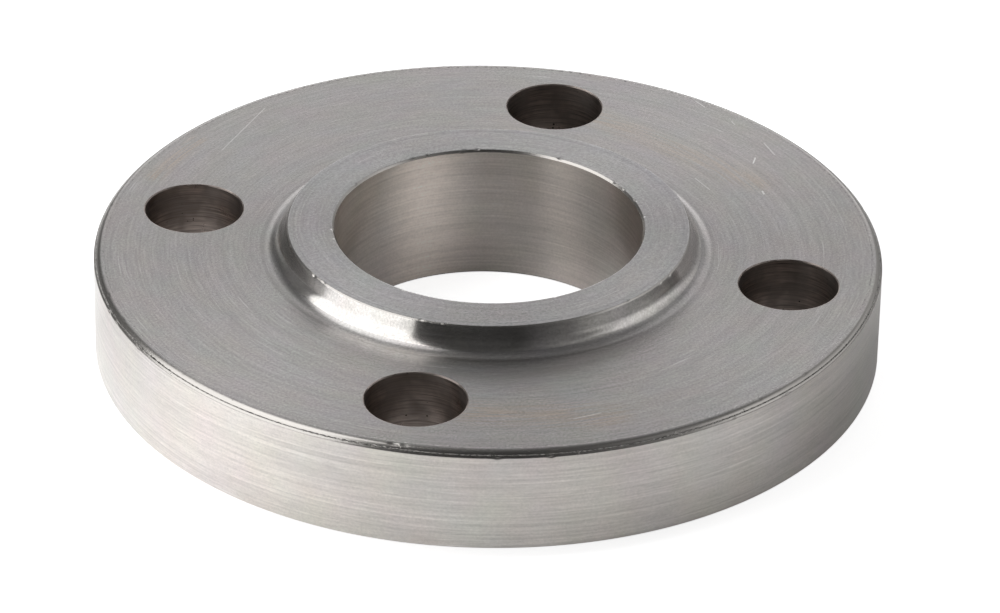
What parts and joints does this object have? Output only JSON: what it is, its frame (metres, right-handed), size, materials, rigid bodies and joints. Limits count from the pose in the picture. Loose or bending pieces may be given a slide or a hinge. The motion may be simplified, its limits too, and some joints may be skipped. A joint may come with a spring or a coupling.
{
  "type": "slip on flange",
  "caption": "Round steel pipe flange with a low hub, a through bore for a pipe, a ring of bolt holes and a raised gasket face.",
  "frame": {"origin": "centre of the raised gasket face, on the bore's axis", "axes": "+Z along the bore from the gasket face to the hub; X and Y midway between neighbouring bolt holes"},
  "size_m": [0.127, 0.127, 0.0232],
  "materials": {
    "turned_stainless": "lathe turned, satin, with fine concentric tool marks"
  },
  "bodies": {
    "root": {"flange": "turned_stainless"}
  },
  "joints": []
}
